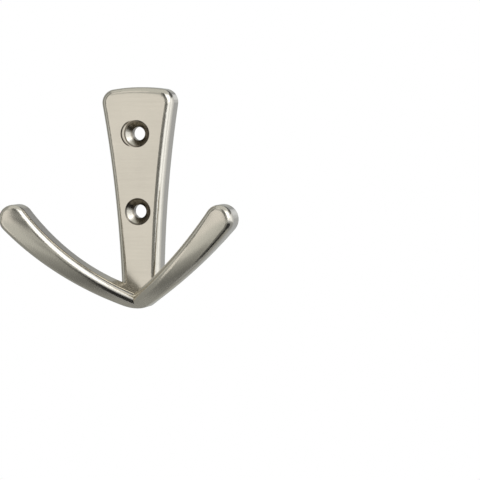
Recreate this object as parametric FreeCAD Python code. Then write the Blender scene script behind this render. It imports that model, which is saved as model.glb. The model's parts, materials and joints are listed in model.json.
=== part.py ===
import FreeCAD, Part
import math
import os

# Double robe hook, one zinc casting in millimetres.
# X is to the right, Y goes into the wall and Z is up. The back face lies on Y = 0 and the origin is
# on it, midway between the screw holes. "Out" is the distance in front of the wall, along -Y.

# Back plate, seen from the front: a slender taper with hollow sides and a crowned top
PLATE_THICKNESS = 6.5
PLATE_TOP_Z = 27.4
PLATE_TOP_HALF_WIDTH = 12.8
PLATE_CROWN = 1.5
PLATE_CORNER_RADIUS = 4.3
PLATE_WAIST_Z = -5.0
PLATE_WAIST_HALF_WIDTH = 8.45
PLATE_FOOT_Z = -36.5
PLATE_FOOT_HALF_WIDTH = 6.5
PLATE_EDGE_RADIUS = 2.5

# Screw holes, for 4 mm countersunk wood screws
HOLE_SPACING = 25.0
BORE_RADIUS = 2.18
COUNTERSINK_RADIUS = 4.28
COUNTERSINK_ANGLE = 90.0
# The upper hole has a shallow second strike of the countersink beside it
STRIKE_SHIFT = 1.07
STRIKE_DEPTH = 0.4

# Relief pockets in the back, one round each screw hole
POCKET_DEPTH = 2.0
POCKET_RIM = 2.6
POCKET_RIB = 6.0
POCKET_BOTTOM_Z = -29.0

# Arms, seen from the front: a V whose arms widen towards round tips, with a round belly under it
APEX_Z = -44.7
ROOT_HEIGHT = 6.3
NOTCH_Z = APEX_Z + ROOT_HEIGHT
BELLY_RADIUS = 10.0
TIP_X = 34.0
TIP_Z = -13.9
TIP_RADIUS = 4.7
UPPER_TIP_ANGLE = 53.0
LOWER_TIP_ANGLE = 47.8

# Front of the arms: the inner side of a wide ring that lies level in front of the hook
FRONT_CURVE_RADIUS = 37.8
FRONT_CURVE_OUT = -9.3
FRONT_CURVE_Z = -10.5
FRONT_RING_RADIUS = 315.0
# Crown of each arm's front, across it and round its tip, which fades out towards the middle of the V
CROWN_RADIUS = 12.0
CROWN_RISE = 0.4
CROWN_START_X = 1.0
CROWN_FULL_X = 14.0
# How many points the crowned surface passes along and across an arm, and its margin round the arm
SKIN_STEPS = 25
SKIN_ROWS = 7
SKIN_MARGIN = 1.0

# Back of the arms: an upright round hollow behind each, and how far out it reaches
BACK_CURVE_RADIUS = 36.9
BACK_REACH = 22.65
BACK_CURVE_OUT = BACK_REACH - BACK_CURVE_RADIUS
BACK_CURVE_X = 36.1

# Rounded edges of the arms; the lower front edge grows rounder towards the tip
ARM_UPPER_RADIUS = 2.1
ARM_LOWER_ROOT_RADIUS = 2.0
ARM_LOWER_TIP_RADIUS = 2.4
ARM_BACK_RADIUS = 0.9

# How far the cutting forms reach past what they cut
MARGIN = 5.0
# How far a point may lie from a surface and still be counted on it
TOUCH = 0.001
# How many points along an edge are tested
EDGE_SAMPLES = 7


def point(x, out, z):
    """A point given by its distance out from the wall."""
    return FreeCAD.Vector(x, -out, z)


def line(start, end):
    return Part.LineSegment(start, end).toShape()


def arc(start, middle, end):
    return Part.Arc(start, middle, end).toShape()


def smooth_curve(*points):
    """A smooth curve through some points."""
    curve = Part.BSplineCurve()
    curve.interpolate(points)
    return curve.toShape()


def arc_about(centre, start, end):
    """The shorter arc about a centre."""
    radius = (start - centre).Length
    return arc(start, centre + (start + end - centre * 2).normalize() * radius, end)


def centre_from_tangent(start, slope, end):
    """The centre of the arc in the front plane that passes start at a slope in degrees and reaches end."""
    angle = math.radians(slope)
    normal = FreeCAD.Vector(-math.sin(angle), 0, math.cos(angle))
    chord = end - start
    return start + normal * (chord.dot(chord) / (2 * normal.dot(chord)))


def face_of(edges):
    return Part.Face(Part.Wire(edges))


def on_all(edge, test):
    """Whether points all along an edge pass a test."""
    return all(test(sample) for sample in edge.discretize(EDGE_SAMPLES))


def rounded(solid, radius_of):
    """The solid with its edges rounded; radius_of gives an edge's radii at its two ends, or None."""
    document = FreeCAD.newDocument()
    base = document.addObject("Part::Feature")
    base.Shape = solid
    fillet = document.addObject("Part::Fillet")
    fillet.Base = base
    found = [(number, radius_of(edge)) for number, edge in enumerate(solid.Edges, 1)]
    fillet.Edges = [(number, *radii) for number, radii in found if radii]
    document.recompute()
    result = fillet.Shape.copy()
    FreeCAD.closeDocument(document.Name)
    return result


def plate_outline(side):
    """The plate's outline on the wall, with sharp top corners, sides drawn by the function side
    through three points each, and a foot that rounds them off."""
    shoulder_z = PLATE_TOP_Z - PLATE_CROWN
    top_right = point(PLATE_TOP_HALF_WIDTH, 0, shoulder_z)
    top_left = point(-PLATE_TOP_HALF_WIDTH, 0, shoulder_z)
    foot_right = point(PLATE_FOOT_HALF_WIDTH, 0, PLATE_FOOT_Z)
    foot_left = point(-PLATE_FOOT_HALF_WIDTH, 0, PLATE_FOOT_Z)
    right_side = side(top_right, point(PLATE_WAIST_HALF_WIDTH, 0, PLATE_WAIST_Z), foot_right)
    left_side = side(foot_left, point(-PLATE_WAIST_HALF_WIDTH, 0, PLATE_WAIST_Z), top_left)
    downwards = right_side.tangentAt(right_side.LastParameter)
    inwards = FreeCAD.Vector(downwards.z, 0, -downwards.x)
    foot_radius = PLATE_FOOT_HALF_WIDTH / -inwards.x
    foot_tip = foot_right + inwards * foot_radius + point(0, 0, -foot_radius)
    return [
        arc(top_left, point(0, 0, PLATE_TOP_Z), top_right),
        right_side,
        arc(foot_right, foot_tip, foot_left),
        left_side,
    ]


def plate():
    """The back plate, with rounded top corners and a rounded front edge."""
    shoulder_z = PLATE_TOP_Z - PLATE_CROWN

    def at_corner(p):
        return abs(p.z - shoulder_z) < TOUCH and abs(p.x) > PLATE_TOP_HALF_WIDTH - TOUCH

    def at_front(p):
        return -p.y > PLATE_THICKNESS - TOUCH

    blank = face_of(plate_outline(smooth_curve)).extrude(point(0, PLATE_THICKNESS, 0))
    corners = [edge for edge in blank.Edges if on_all(edge, at_corner)]
    blank = blank.makeFillet(PLATE_CORNER_RADIUS, corners)
    front_edges = [edge for edge in blank.Edges if on_all(edge, at_front)]
    return blank.makeFillet(PLATE_EDGE_RADIUS, front_edges)


def arm_band():
    """The right half of the V as seen from the front, a face on the wall."""
    def on_tip(angle):
        turn = math.radians(angle)
        return point(TIP_X + TIP_RADIUS * math.cos(turn), 0, TIP_Z + TIP_RADIUS * math.sin(turn))

    notch = point(0, 0, NOTCH_Z)
    upper_end = on_tip(UPPER_TIP_ANGLE + 90)
    lower_end = on_tip(LOWER_TIP_ANGLE - 90)
    tip_end = on_tip((UPPER_TIP_ANGLE + LOWER_TIP_ANGLE) / 2)
    upper_centre = centre_from_tangent(upper_end, UPPER_TIP_ANGLE, notch)
    lower_centre = centre_from_tangent(lower_end, LOWER_TIP_ANGLE, point(0, 0, APEX_Z))
    lower_radius = (lower_end - lower_centre).Length
    rise = math.sqrt((lower_radius - BELLY_RADIUS) ** 2 - lower_centre.x ** 2)
    belly_centre = point(0, 0, lower_centre.z - rise)
    belly_end = lower_centre + (belly_centre - lower_centre).normalize() * lower_radius
    bottom = belly_centre + point(0, 0, -BELLY_RADIUS)
    return face_of([
        line(bottom, notch),
        arc_about(upper_centre, notch, upper_end),
        arc(upper_end, tip_end, lower_end),
        arc_about(lower_centre, lower_end, belly_end),
        arc_about(belly_centre, belly_end, bottom),
    ])


def ring_out(x, z):
    """How far out the inner side of the ring is."""
    from_axis = FRONT_RING_RADIUS - math.sqrt(FRONT_CURVE_RADIUS ** 2 - (z - FRONT_CURVE_Z) ** 2)
    return FRONT_CURVE_OUT + FRONT_RING_RADIUS - math.sqrt(from_axis ** 2 - x ** 2)


def crown_out(x, across, past_tip):
    """How far the crown stands out from the ring, beside the middle line and past the tip's centre."""
    share = min(max((x - CROWN_START_X) / (CROWN_FULL_X - CROWN_START_X), 0), 1)
    fade = share * share * (3 - 2 * share)
    from_middle = math.hypot(across, max(past_tip, 0))
    return fade * (CROWN_RISE - from_middle ** 2 / (2 * CROWN_RADIUS))


def front_skin():
    """The crowned surface that the front of the right arm follows, laid along the arm's middle line."""
    tip = point(TIP_X, 0, TIP_Z)
    root = point(0, 0, (NOTCH_Z + APEX_Z) / 2)
    centre = centre_from_tangent(tip, (UPPER_TIP_ANGLE + LOWER_TIP_ANGLE) / 2, root)
    radius = (tip - centre).Length
    root_reach = ROOT_HEIGHT / 2 + SKIN_MARGIN
    tip_reach = TIP_RADIUS + SKIN_MARGIN
    tip_turn = math.atan2(tip.z - centre.z, tip.x - centre.x)
    first_turn = math.atan2(root.z - centre.z, root.x - centre.x) - SKIN_MARGIN / radius
    last_turn = tip_turn + tip_reach / radius

    def skin_point(step, row):
        along = step / (SKIN_STEPS - 1)
        turn = first_turn + (last_turn - first_turn) * along
        reach = root_reach + (tip_reach - root_reach) * along
        across = reach * (2 * row / (SKIN_ROWS - 1) - 1)
        x = centre.x + (radius + across) * math.cos(turn)
        z = centre.z + (radius + across) * math.sin(turn)
        return point(x, ring_out(x, z) + crown_out(x, across, (turn - tip_turn) * radius), z)

    surface = Part.BSplineSurface()
    surface.interpolate([[skin_point(step, row) for row in range(SKIN_ROWS)] for step in range(SKIN_STEPS)])
    return surface.toShape()


def back_form():
    """The upright round form that is hollowed out behind the right arm."""
    foot = point(BACK_CURVE_X, BACK_CURVE_OUT, APEX_Z - MARGIN)
    height = TIP_Z + TIP_RADIUS - APEX_Z + 2 * MARGIN
    return Part.makeCylinder(BACK_CURVE_RADIUS, height, foot)


def arm():
    """The right arm, from the middle of the V to the tip."""
    front = front_skin()
    back = back_form()
    back_skin = max(back.Faces, key=lambda face: face.Area)

    def lies_on(edge, skin):
        return on_all(edge, lambda p: skin.distToShape(Part.Vertex(p))[0] < TOUCH)

    def radius_at(vertex):
        along = vertex.X / TIP_X
        if vertex.Z > NOTCH_Z + (TIP_Z - NOTCH_Z) * along - TOUCH:
            return ARM_UPPER_RADIUS
        return ARM_LOWER_ROOT_RADIUS + (ARM_LOWER_TIP_RADIUS - ARM_LOWER_ROOT_RADIUS) * along

    def radii(edge):
        if on_all(edge, lambda p: p.x < TOUCH) or on_all(edge, lambda p: -p.y < TOUCH):
            return None
        if lies_on(edge, back_skin):
            return ARM_BACK_RADIUS, ARM_BACK_RADIUS
        if lies_on(edge, front):
            return tuple(radius_at(vertex) for vertex in edge.Vertexes)
        return None

    outwards = point(0, FRONT_CURVE_RADIUS, 0)
    block = arm_band().extrude(outwards)
    return rounded(block.cut(front.extrude(outwards)).cut(back), radii)


def screw_hole(z):
    """A countersunk hole with its axis at height z."""
    half_angle = math.radians(COUNTERSINK_ANGLE / 2)
    cone_depth = (COUNTERSINK_RADIUS - BORE_RADIUS) / math.tan(half_angle)
    wide_radius = COUNTERSINK_RADIUS + MARGIN * math.tan(half_angle)
    outwards = point(0, 1, 0)
    bore = Part.makeCylinder(BORE_RADIUS, PLATE_THICKNESS + MARGIN, point(0, -MARGIN, z), outwards)
    seat = point(0, PLATE_THICKNESS - cone_depth, z)
    cone = Part.makeCone(BORE_RADIUS, wide_radius, cone_depth + MARGIN, seat, outwards)
    return bore.fuse(cone)


def second_strike(z):
    """The shallow mark of a countersink that landed beside the hole."""
    floor = point(-STRIKE_SHIFT, PLATE_THICKNESS - STRIKE_DEPTH, z)
    return Part.makeCylinder(COUNTERSINK_RADIUS, STRIKE_DEPTH + MARGIN, floor, point(0, 1, 0))


def pockets():
    """The two relief pockets, inside a rim along the plate's outline and apart by a rib."""
    inset = face_of(plate_outline(arc)).makeOffset2D(-POCKET_RIM)
    relief = inset.extrude(point(0, POCKET_DEPTH, 0))
    width = 2 * PLATE_TOP_HALF_WIDTH
    corner = point(-PLATE_TOP_HALF_WIDTH, POCKET_DEPTH, 0)
    rib = Part.makeBox(width, POCKET_DEPTH, POCKET_RIB, corner - FreeCAD.Vector(0, 0, POCKET_RIB / 2))
    below = FreeCAD.Vector(0, 0, relief.BoundBox.ZMin - MARGIN)
    foot = Part.makeBox(width, POCKET_DEPTH, POCKET_BOTTOM_Z - below.z, corner + below)
    return relief.cut(rib).cut(foot)


def hook():
    """The whole casting."""
    right = arm()
    left = right.mirror(FreeCAD.Vector(0, 0, 0), FreeCAD.Vector(1, 0, 0))
    body = plate().fuse([right, left]).removeSplitter()
    holes = [screw_hole(HOLE_SPACING / 2), screw_hole(-HOLE_SPACING / 2), second_strike(HOLE_SPACING / 2)]
    return body.cut(holes + [pockets()]).removeSplitter()


os.makedirs("parts", exist_ok=True)
body = hook()
print("valid", body.isValid(), "solids", len(body.Solids), "volume", round(body.Volume, 1))
body.Solids[0].exportStep("parts/hook_body.step")
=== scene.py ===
import json
import math

import bpy
from mathutils import Matrix, Vector


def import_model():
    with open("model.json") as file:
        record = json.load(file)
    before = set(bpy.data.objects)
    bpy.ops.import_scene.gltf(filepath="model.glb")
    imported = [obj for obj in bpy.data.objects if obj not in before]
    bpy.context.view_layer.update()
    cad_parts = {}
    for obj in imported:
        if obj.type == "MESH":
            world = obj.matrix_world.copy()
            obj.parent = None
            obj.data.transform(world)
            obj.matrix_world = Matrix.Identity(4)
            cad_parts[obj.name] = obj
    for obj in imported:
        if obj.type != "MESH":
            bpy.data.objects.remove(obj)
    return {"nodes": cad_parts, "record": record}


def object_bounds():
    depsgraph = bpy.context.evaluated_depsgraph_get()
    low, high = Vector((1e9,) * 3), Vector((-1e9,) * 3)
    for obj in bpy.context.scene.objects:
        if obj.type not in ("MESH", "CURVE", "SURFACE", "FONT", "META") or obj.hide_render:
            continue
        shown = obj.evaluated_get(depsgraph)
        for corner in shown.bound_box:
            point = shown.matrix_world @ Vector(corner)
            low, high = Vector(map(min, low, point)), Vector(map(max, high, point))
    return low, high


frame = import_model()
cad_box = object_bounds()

# Lengths are in metres and angles in degrees
MM = 0.001

# Camera: where it aims, and how it stands round that point
CAMERA_AIM = Vector((31.77, 1.365, -22.0)) * MM
CAMERA_DISTANCE = 0.699
CAMERA_AZIMUTH = 16.364
CAMERA_ELEVATION = 3.65
CAMERA_ROLL = -0.8
CAMERA_LENS = 163.4

# Floor, well below the hook
FLOOR_DROP = 0.28
FLOOR_RADIUS = 0.55
FLOOR_SIDES = 96
FLOOR_COLOUR = (0.80, 0.80, 0.79, 1.0)
FLOOR_DARKER = (0.768, 0.768, 0.7584, 1.0)
FLOOR_MOTTLE = (9.0, 9.0, 9.0)

# Soft lamp to the right of the camera
SOFTBOX_AZIMUTH = 51
SOFTBOX_ELEVATION = 25
SOFTBOX_DISTANCE = 1.0
SOFTBOX_WIDTH = 0.50
SOFTBOX_HEIGHT = 0.80
SOFTBOX_BRIGHTNESS = 1.8

# Studio walls round the hook, which show in its reflections: where each begins and ends in azimuth
# and elevation, and how bright it is beside a white card
WALL_DISTANCE = 1.4
WALL_STEPS = 12
WALLS = (
    # In front, to the left of the camera
    ("front_left_wall", (-42, -24), (-18, 33), 1.05),
    ("front_left_side_wall", (-50, -42), (-15, 33), 1.05),
    ("front_left_bar", (-50, -24), (33, 43), 0.62),
    ("front_left_high_wall", (-50, -24), (43, 58), 1.0),
    ("front_near_wall", (-24, -9), (-18, 26), 1.05),
    ("front_near_high_wall", (-24, -9), (26, 58), 0.66),
    ("front_left_low_wall", (-42, -9), (-45, -18), 0.78),
    ("left_front_low_wall", (-62, -42), (-45, -15), 1.1),
    ("front_left_foot", (-62, -9), (-61, -45), 0.38),
    # Left
    ("left_near_gap", (-64, -50), (-15, 58), 0.20),
    ("left_near_wall", (-88, -64), (-15, 58), 0.64),
    ("left_far_gap", (-112, -88), (-15, 58), 0.30),
    ("left_wall", (-180, -112), (-15, 58), 0.5),
    ("left_low_wall", (-165, -62), (-61, -15), 0.38),
    ("left_back_low_wall", (-180, -165), (-61, -15), 0.55),
    # In front, round the camera
    ("front_gap", (-9, 24), (-9, 0), 0.06),
    ("front_middle_gap", (-9, 24), (0, 9), 0.42),
    ("front_upper_gap", (-9, 24), (9, 30), 0.20),
    ("front_high_gap", (-9, 20), (30, 58), 0.16),
    ("front_low_wall", (-9, 24), (-28, -9), 0.60),
    ("front_foot", (-9, 19), (-61, -28), 0.20),
    # Right, round the lamp
    ("right_near_wall", (24, 34), (-5, 30), 1.6),
    ("right_near_shade", (24, 34), (-14, -5), 0.55),
    ("right_near_high_wall", (20, 34), (30, 58), 1.7),
    ("right_bar", (60, 76), (-14, 22), 1.2),
    ("right_middle_wall", (76, 100), (-14, 22), 1.5),
    ("right_upper_wall", (66, 84), (22, 58), 1.5),
    ("right_upper_edge", (84, 100), (22, 58), 0.9),
    ("right_foot_wall", (34, 60), (-14, 4), 1.6),
    ("right_head_wall", (34, 66), (46, 58), 1.4),
    ("right_shade", (24, 80), (-28, -14), 0.50),
    ("right_low_gap", (19, 80), (-61, -28), 0.02),
    # Right, towards the back
    ("right_wall", (100, 125), (-14, 25), 1.05),
    ("right_back_wall", (125, 148), (-14, 25), 0.75),
    ("back_wall", (148, 174), (7, 18), 0.92),
    ("back_edge_wall", (174, 180), (7, 18), 0.45),
    ("back_upper_wall", (148, 180), (18, 25), 0.40),
    ("back_middle_wall", (148, 180), (0, 7), 0.70),
    ("back_foot_wall", (148, 180), (-14, 0), 0.53),
    ("right_high_wall", (100, 180), (25, 52), 0.14),
    ("right_top_wall", (100, 180), (52, 58), 0.80),
    ("right_low_wall", (80, 140), (-61, -14), 0.40),
    ("back_low_wall", (140, 180), (-61, -14), 0.52),
    # Above and below
    ("ceiling", (-180, 180), (58, 89), 0.78),
    ("base_near_ring", (-100, -20), (-67, -61), 0.28),
    ("base_far_ring", (-300, -100), (-67, -61), 0.46),
    ("base_shade", (-122, -20), (-77, -67), 0.16),
    ("base_far_shade", (-300, -122), (-77, -67), 0.34),
    ("base_gap", (-20, 60), (-84, -61), 0.02),
    ("base", (60, 340), (-89, -77), 0.46),
    ("base_end", (-20, 60), (-89, -84), 0.30),
)

# The lamp, and a wall that begins at this azimuth or beyond it, are a little cooler than plain white,
# and so is any dull wall
RIGHT_FROM = 19
RIGHT_TINT = (0.955, 1.0, 1.07)
DULL_UNDER = 0.8
DULL_TINT = (0.965, 1.0, 0.995)
PLAIN_TINT = (1.0, 1.0, 1.0)

# Light from the surroundings on matt surfaces
AMBIENT = 0.8
WHITE = (1.0, 1.0, 1.0, 1.0)

# The places on the hook that the finish follows
SCREW_HOLES = [mount["dims"] for mount in frame["record"]["mounts"] if mount["name"] == "screw_holes"][0]
HOLE_HEIGHT = SCREW_HOLES["spacing_y_mm"] / 2 * MM
HOLE_AXES = (Vector((0.0, 0.0, HOLE_HEIGHT)), Vector((0.0, 0.0, -HOLE_HEIGHT)))
BORE_RADIUS = SCREW_HOLES["hole_r_mm"] * MM
SINK_RADIUS = 4.28 * MM
STRIKE_AXIS = Vector((-1.07 * MM, 0.0, HOLE_HEIGHT))
PANEL_OUT = 6.5 * MM
ARM_CURVE_CENTRE = Vector((0.0, 9.3, -10.5)) * MM

# Which way each kind of surface faces, and how far out from the wall it lies: where it begins and is full
FRONT_FACING = (0.90, 0.985)
BACK_FACING = (0.6, 0.9)
ARM_FACING = (0.93, 0.985)
ROUNDING_FACING = (0.1, 0.3)
PANEL_LEVEL = (0.5 * MM, 0.2 * MM)
ARMS_OUT = (PANEL_OUT + 0.2 * MM, PANEL_OUT + 1.0 * MM)
SUNK_OUT = (PANEL_OUT - 0.05 * MM, PANEL_OUT - 0.25 * MM)

# Screw seats, the painted dark lines at their rims and where their painted shade is lifted: the same, by
# the distance from an axis
SEAT_REACH = (SINK_RADIUS + 1.4 * MM, SINK_RADIUS + 1.2 * MM)
RIM_INSIDE = (SINK_RADIUS - 0.55 * MM, SINK_RADIUS - 0.25 * MM)
RIM_OUTSIDE = (SINK_RADIUS + 0.2 * MM, SINK_RADIUS)
STRIKE_INSIDE = (SINK_RADIUS - 0.5 * MM, SINK_RADIUS - 0.2 * MM)
STRIKE_OUTSIDE = (SINK_RADIUS + 0.15 * MM, SINK_RADIUS)
CONE_REACH = (BORE_RADIUS + 0.1 * MM, BORE_RADIUS + 0.5 * MM)
# Where a highlight falls in a seat, low on its left, its painted shade is lifted
HIGHLIGHT_WAY = (-0.9, 0.0, -0.43)
HIGHLIGHT_REACH = (1.6 * MM, 2.8 * MM)

# The same, along X, and how much painted shade is lifted on the seats' right side and how much of its
# painted rim line is left
STRIKE_LEFT = (-2.2 * MM, -3.4 * MM)
SEAT_RIGHT = (1.4 * MM, 3.0 * MM)
RIGHT_LIT = 0.65
RIGHT_RIM = 0.55

# Satin nickel: its colours, and how strongly the marks, the painted shade in the seats and the painted
# rim lines show
NICKEL = (0.66, 0.61, 0.515, 1.0)
NICKEL_DULL = (0.56, 0.52, 0.44, 1.0)
# Painted shade: the seat brown darkens the countersinks, and the rim brown paints a dark line at their
# rims
SEAT_PAINTED_SHADE = (0.28, 0.24, 0.18, 1.0)
RIM_PAINTED_SHADE = (0.09, 0.075, 0.055, 1.0)
MARKS_TONE = 0.5
PLAIN_TONE = 0.35
# How much painted shade the seats take, how much of it stays where it is lifted, and how strong the
# painted rim line is
SEAT_SHADE_RANGE = (0.8, 1.0)
LIT_SEAT_SHADE = 0.1
RIM_SHADE_SHARE = 0.85

# Its roughness; a pair is for the low and the high places of the marks or the grain
SMOOTH_PLATE = 0.14
SMOOTH_ARM = 0.20
BRUSHED_PLATE = (0.20, 0.25)
BRUSHED_ARM = (0.25, 0.30)
SEAT_ROUGHNESS = 0.20
BACK_ROUGHNESS = (0.38, 0.55)
WORN_ROUGHNESS = 0.10
WORN_SHARE = 0.5
WORN_EDGE = (0.53, 0.60)

# Its marks, clouds, grain and waves, in cycles for each metre along X, Y and Z
LEVEL_MARKS = (60.0, 60.0, 3600.0)
UPRIGHT_MARKS = (3600.0, 300.0, 60.0)
CLOUDS = (70.0, 70.0, 70.0)
GRAIN = (5000.0, 5000.0, 5000.0)
GRAIN_DETAIL = 2.0
WAVES = (500.0, 500.0, 260.0)
WAVES_DETAIL = 1.0

# The middle of that noise, which is also the height of plain metal, and how high the relief is
MIDDLE = 0.5
ARM_RELIEF = (0.45, 0.55)
RELIEF_STRENGTH = 0.04
RELIEF_HEIGHT = 0.05 * MM
WAVES_HEIGHT = 0.035 * MM

# Factors that keep two of a vector's three parts
KEEP_XZ = (1.0, 0.0, 1.0)
KEEP_YZ = (0.0, 1.0, 1.0)


def direction(azimuth, elevation):
    """The way from the hook to something; azimuth 0 is straight in front of it and 90 to its right."""
    turn = math.radians(azimuth)
    rise = math.radians(elevation)
    return Vector((math.sin(turn) * math.cos(rise), -math.cos(turn) * math.cos(rise), math.sin(rise)))


def facing(point, azimuth, elevation, distance):
    """The place and turn of something that faces a point, with its own -Z towards it."""
    way = direction(azimuth, elevation)
    return Matrix.Translation(point + way * distance) @ way.to_track_quat("Z", "Y").to_matrix().to_4x4()


def link(piece):
    """Puts an object in the scene."""
    bpy.context.scene.collection.objects.link(piece)


def feed(tree, socket, value):
    """Gives a node's input a plain value or another node's output."""
    if isinstance(value, bpy.types.NodeSocket):
        tree.links.new(value, socket)
    else:
        socket.default_value = value


def add(tree, kind, inputs=(), **settings):
    """A new shader node with its inputs and settings."""
    node = tree.nodes.new("ShaderNode" + kind)
    for name, value in settings.items():
        setattr(node, name, value)
    for name, value in dict(inputs).items():
        feed(tree, node.inputs[name], value)
    return node


def calculate(tree, operation, first, second=0.0):
    """A number from one or two others."""
    return add(tree, "Math", {0: first, 1: second}, operation=operation).outputs[0]


def combine(tree, operation, first, second):
    """A vector from two others."""
    return add(tree, "VectorMath", {0: first, 1: second}, operation=operation).outputs["Vector"]


def dot(tree, first, second):
    """How far one vector reaches along another."""
    return add(tree, "VectorMath", {0: first, 1: second}, operation="DOT_PRODUCT").outputs["Value"]


def ramp(tree, value, low, high):
    """A smooth step from 0 where value is low to 1 where it is high."""
    inputs = {"Value": value, "From Min": low, "From Max": high}
    return add(tree, "MapRange", inputs, interpolation_type="SMOOTHSTEP").outputs["Result"]


def blend(tree, factor, first, second):
    """A number that goes from first to second."""
    inputs = {"Factor": factor, "A": first, "B": second}
    return add(tree, "Mix", inputs, data_type="FLOAT").outputs[0]


def blend_colour(tree, factor, first, second):
    """A colour that goes from first to second."""
    node = add(tree, "Mix", data_type="RGBA")
    sockets = {socket.identifier: socket for socket in node.inputs}
    feed(tree, sockets["Factor_Float"], factor)
    feed(tree, sockets["A_Color"], first)
    feed(tree, sockets["B_Color"], second)
    return [socket for socket in node.outputs if socket.identifier == "Result_Color"][0]


def noise(tree, place, scale, detail=3.0):
    """Noise with its own fineness along X, Y and Z."""
    stretched = add(tree, "Mapping", {"Vector": place, "Scale": scale}).outputs["Vector"]
    inputs = {"Vector": stretched, "Scale": 1.0, "Detail": detail}
    return add(tree, "TexNoise", inputs).outputs["Fac"]


def new_material(name):
    """A material with no nodes yet."""
    material = bpy.data.materials.new(name)
    material.use_nodes = True
    material.node_tree.nodes.clear()
    return material


def show(tree, shader, output="OutputMaterial"):
    """Makes a shader the one that a material, or the world, shows."""
    tree.links.new(shader.outputs[0], add(tree, output).inputs["Surface"])


def from_axis(tree, place, axis):
    """The way to a place from an axis along Y, and how far that is."""
    way = combine(tree, "MULTIPLY", combine(tree, "SUBTRACT", place, axis), KEEP_XZ)
    return way, add(tree, "VectorMath", {0: way}, operation="LENGTH").outputs["Value"]


def ring(tree, distance, inside, outside):
    """Where a distance lies in a ring, from 0 to 1."""
    return calculate(tree, "MULTIPLY", ramp(tree, distance, *inside), ramp(tree, distance, *outside))


def seat_masks(tree, place, x, out):
    """Where the screw seats, the painted dark lines at their rims and the places where their painted
    shade is lifted are, from 0 to 1.
    """
    seat = 0.0
    rim = 0.0
    seat_lit = 0.0
    for axis in HOLE_AXES:
        way, distance = from_axis(tree, place, axis)
        inside = ramp(tree, distance, *SEAT_REACH)
        seat = calculate(tree, "MAXIMUM", seat, inside)
        rim = calculate(tree, "MAXIMUM", rim, ring(tree, distance, RIM_INSIDE, RIM_OUTSIDE))
        # The painted shade is lifted low on the left, where a highlight falls
        highlight_spot = ramp(tree, dot(tree, way, HIGHLIGHT_WAY), *HIGHLIGHT_REACH)
        highlight_spot = calculate(tree, "MULTIPLY", highlight_spot, ramp(tree, distance, *CONE_REACH))
        seat_lit = calculate(tree, "MAXIMUM", seat_lit, calculate(tree, "MULTIPLY", highlight_spot, inside))
    seat = calculate(tree, "MULTIPLY", seat, ramp(tree, out, *SUNK_OUT))

    # The painted dark line at the edge of the countersink's second strike, on the left of the upper hole
    distance = from_axis(tree, place, STRIKE_AXIS)[1]
    strike = ring(tree, distance, STRIKE_INSIDE, STRIKE_OUTSIDE)
    strike = calculate(tree, "MULTIPLY", strike, ramp(tree, x, *STRIKE_LEFT))
    rim = calculate(tree, "MAXIMUM", rim, strike)

    # The seats' painted shade is lighter on the right side, and their painted rim line fainter
    right = ramp(tree, x, *SEAT_RIGHT)
    seat_lit = calculate(tree, "MAXIMUM", seat_lit, calculate(tree, "MULTIPLY", right, RIGHT_LIT))
    rim = calculate(tree, "MULTIPLY", rim, blend(tree, right, 1.0, RIGHT_RIM))
    return {"seat": seat, "rim": rim, "seat_lit": seat_lit}


def surface_masks(tree, place, normal):
    """Where each kind of surface is on the hook, from 0 to 1."""
    along = add(tree, "SeparateXYZ", {0: place}).outputs
    out = calculate(tree, "MULTIPLY", along["Y"], -1.0)
    backwards = add(tree, "SeparateXYZ", {0: normal}).outputs["Y"]
    frontwards = calculate(tree, "MULTIPLY", backwards, -1.0)

    # The plate's flat front
    level = calculate(tree, "ABSOLUTE", calculate(tree, "SUBTRACT", out, PANEL_OUT))
    panel = ramp(tree, frontwards, *FRONT_FACING)
    panel = calculate(tree, "MULTIPLY", panel, ramp(tree, level, *PANEL_LEVEL))

    # The fronts of the arms, which face away from the line that they curve round
    from_centre = combine(tree, "SUBTRACT", place, ARM_CURVE_CENTRE)
    upright = combine(tree, "MULTIPLY", from_centre, KEEP_YZ)
    outwards = add(tree, "VectorMath", {0: upright}, operation="NORMALIZE").outputs["Vector"]
    in_front = ramp(tree, out, *ARMS_OUT)
    arm = ramp(tree, dot(tree, outwards, normal), *ARM_FACING)
    arm = calculate(tree, "MULTIPLY", arm, in_front)

    masks = seat_masks(tree, place, along["X"], out)
    masks["arm"] = arm
    masks["in_front"] = in_front
    masks["brushed"] = calculate(tree, "MAXIMUM", panel, arm)
    masks["back"] = ramp(tree, backwards, *BACK_FACING)
    masks["rounding"] = ramp(tree, frontwards, *ROUNDING_FACING)
    return masks


def nickel_colour(tree, masks, marks, cloudy):
    """Nickel that is duller in its marks, with painted brown shade in the screw seats and painted dark
    lines at their rims.
    """
    tone = calculate(tree, "MULTIPLY", calculate(tree, "SUBTRACT", marks, MIDDLE), MARKS_TONE)
    tone = calculate(tree, "ADD", tone, calculate(tree, "SUBTRACT", cloudy, MIDDLE))
    tone = calculate(tree, "ADD", calculate(tree, "MULTIPLY", tone, masks["brushed"]), PLAIN_TONE)
    colour = blend_colour(tree, tone, NICKEL, NICKEL_DULL)
    # Painted shade in the screw seats, lifted where a highlight falls and on their right side
    seat_shade = calculate(tree, "MULTIPLY", masks["seat"], blend(tree, cloudy, *SEAT_SHADE_RANGE))
    seat_shade = calculate(tree, "MULTIPLY", seat_shade, blend(tree, masks["seat_lit"], 1.0, LIT_SEAT_SHADE))
    colour = blend_colour(tree, seat_shade, colour, SEAT_PAINTED_SHADE)
    # Painted dark lines at the seats' rims
    colour = blend_colour(tree, calculate(tree, "MULTIPLY", masks["rim"], RIM_SHADE_SHARE), colour, RIM_PAINTED_SHADE)
    return blend_colour(tree, masks["back"], colour, NICKEL_DULL)


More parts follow.
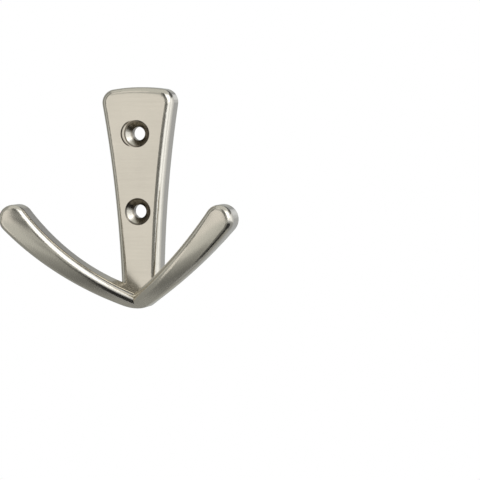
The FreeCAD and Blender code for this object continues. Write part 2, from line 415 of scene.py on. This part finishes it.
def nickel_roughness(tree, masks, marks, grain, pointiness):
    """Smooth roundings, rougher brushed faces, a rough back and edges that are worn bright."""
    smooth = blend(tree, masks["in_front"], SMOOTH_PLATE, SMOOTH_ARM)
    plate = blend(tree, marks, *BRUSHED_PLATE)
    brushed = blend(tree, masks["in_front"], plate, blend(tree, marks, *BRUSHED_ARM))
    rough = blend(tree, masks["brushed"], smooth, brushed)
    rough = blend(tree, masks["seat"], rough, SEAT_ROUGHNESS)
    rough = blend(tree, masks["back"], rough, blend(tree, grain, *BACK_ROUGHNESS))
    worn = calculate(tree, "MULTIPLY", ramp(tree, pointiness, *WORN_EDGE), WORN_SHARE)
    return blend(tree, worn, rough, WORN_ROUGHNESS)


def nickel_relief(tree, masks, marks, grain, wavy):
    """Waves on the plate's roundings, marks on the brushed faces and grain on the back."""
    even = calculate(tree, "MAXIMUM", masks["brushed"], masks["back"])
    even = calculate(tree, "MAXIMUM", even, masks["in_front"])
    polished = calculate(tree, "MULTIPLY", calculate(tree, "SUBTRACT", 1.0, even), masks["rounding"])
    wave = calculate(tree, "MULTIPLY", calculate(tree, "SUBTRACT", wavy, MIDDLE), polished)
    waves = add(tree, "Bump", {"Height": wave, "Strength": 1.0, "Distance": WAVES_HEIGHT})
    relief = blend(tree, masks["arm"], marks, blend(tree, marks, *ARM_RELIEF))
    relief = blend(tree, masks["brushed"], blend(tree, masks["back"], MIDDLE, grain), relief)
    bump = {"Height": relief, "Strength": RELIEF_STRENGTH, "Distance": RELIEF_HEIGHT}
    return add(tree, "Bump", {**bump, "Normal": waves.outputs["Normal"]}).outputs["Normal"]


def satin_nickel():
    """Brushed faces, smoother roundings, screw seats with painted shade and a plain cast back."""
    material = new_material("satin_nickel")
    tree = material.node_tree
    place = add(tree, "TexCoord").outputs["Object"]
    surface = add(tree, "NewGeometry").outputs
    masks = surface_masks(tree, place, surface["Normal"])

    # Brush marks are level on the panel and upright on the arms
    marks = blend(tree, masks["arm"], noise(tree, place, LEVEL_MARKS), noise(tree, place, UPRIGHT_MARKS))
    cloudy = noise(tree, place, CLOUDS)
    grain = noise(tree, place, GRAIN, GRAIN_DETAIL)
    wavy = noise(tree, place, WAVES, WAVES_DETAIL)
    show(tree, add(tree, "BsdfPrincipled", {
        "Base Color": nickel_colour(tree, masks, marks, cloudy),
        "Metallic": 1.0,
        "Roughness": nickel_roughness(tree, masks, marks, grain, surface["Pointiness"]),
        "Normal": nickel_relief(tree, masks, marks, grain, wavy),
    }))
    return material


def floor_paper():
    """A plain matt material with a faint mottle."""
    material = new_material("floor_paper")
    tree = material.node_tree
    place = add(tree, "TexCoord").outputs["Object"]
    colour = blend_colour(tree, noise(tree, place, FLOOR_MOTTLE), FLOOR_COLOUR, FLOOR_DARKER)
    show(tree, add(tree, "BsdfDiffuse", {"Color": colour}))
    return material


def glow(name, tint, brightness):
    """A material that shines evenly, as bright as a white card times brightness."""
    material = new_material(name)
    tree = material.node_tree
    show(tree, add(tree, "Emission", {"Color": (*tint, 1.0), "Strength": brightness}))
    return material


def studio_piece(name, points, faces, material):
    """A piece of the studio, which isn't part of the hook."""
    mesh = bpy.data.meshes.new(name)
    mesh.from_pydata(points, [], faces)
    mesh.materials.append(material)
    piece = bpy.data.objects.new(name, mesh)
    link(piece)
    return piece


def floor():
    """A pale round floor under the hook."""
    turns = [2 * math.pi * step / FLOOR_SIDES for step in range(FLOOR_SIDES)]
    height = cad_box[0][2] - FLOOR_DROP
    points = [(FLOOR_RADIUS * math.cos(turn), FLOOR_RADIUS * math.sin(turn), height) for turn in turns]
    paper = studio_piece("floor", points, [list(range(FLOOR_SIDES))], floor_paper())
    paper.visible_glossy = False


def spread(start, end):
    """Even steps from start to end."""
    return [start + (end - start) * step / WALL_STEPS for step in range(WALL_STEPS + 1)]


def wall(name, azimuths, elevations, brightness):
    """A curved studio wall round the hook, which shows only in its reflections."""
    across = spread(*azimuths)
    up = spread(*elevations)
    points = [direction(azimuth, elevation) * WALL_DISTANCE for elevation in up for azimuth in across]
    row = len(across)
    corners = [line * row + step for line in range(WALL_STEPS) for step in range(WALL_STEPS)]
    faces = [(corner, corner + 1, corner + row + 1, corner + row) for corner in corners]
    tint = DULL_TINT if brightness < DULL_UNDER else PLAIN_TINT
    if azimuths[0] >= RIGHT_FROM:
        tint = RIGHT_TINT
    piece = studio_piece(name, points, faces, glow(name, tint, brightness))
    piece.visible_camera = False
    piece.visible_diffuse = False
    piece.visible_shadow = False


def softbox():
    """A soft lamp that faces the hook, as bright as a white card times its brightness."""
    lamp = bpy.data.lights.new("right_softbox", "AREA")
    lamp.shape = "RECTANGLE"
    lamp.size = SOFTBOX_WIDTH
    lamp.size_y = SOFTBOX_HEIGHT
    lamp.energy = SOFTBOX_BRIGHTNESS * math.pi * SOFTBOX_WIDTH * SOFTBOX_HEIGHT
    lamp.color = RIGHT_TINT
    holder = bpy.data.objects.new("right_softbox", lamp)
    holder.matrix_world = facing(Vector(), SOFTBOX_AZIMUTH, SOFTBOX_ELEVATION, SOFTBOX_DISTANCE)
    holder.visible_camera = False
    link(holder)


def world():
    """White behind the hook and in its reflections, and an even gray light on matt surfaces."""
    studio = bpy.data.worlds.new("studio")
    bpy.context.scene.world = studio
    studio.use_nodes = True
    tree = studio.node_tree
    tree.nodes.clear()
    rays = add(tree, "LightPath").outputs
    seen = calculate(tree, "MAXIMUM", rays["Is Camera Ray"], rays["Is Glossy Ray"])
    seen = calculate(tree, "MAXIMUM", seen, rays["Is Transmission Ray"])
    ambient = add(tree, "Background", {"Color": WHITE, "Strength": AMBIENT})
    white = add(tree, "Background", {"Color": WHITE, "Strength": 1.0})
    mixed = add(tree, "MixShader", {0: seen, 1: ambient.outputs[0], 2: white.outputs[0]})
    show(tree, mixed, "OutputWorld")


def camera():
    """The camera at the photo's angle."""
    lens = bpy.data.cameras.new("camera")
    lens.lens = CAMERA_LENS
    holder = bpy.data.objects.new("camera", lens)
    stand = facing(CAMERA_AIM, CAMERA_AZIMUTH, CAMERA_ELEVATION, CAMERA_DISTANCE)
    holder.matrix_world = stand @ Matrix.Rotation(math.radians(CAMERA_ROLL), 4, "Z")
    link(holder)
    bpy.context.scene.camera = holder


hook = frame["nodes"]["hook_body"]
finish = satin_nickel()
for slot in hook.material_slots:
    slot.material = finish

world()
floor()
camera()
softbox()
for name, azimuths, elevations, brightness in WALLS:
    wall(name, azimuths, elevations, brightness)

bpy.context.scene.view_settings.view_transform = "Standard"
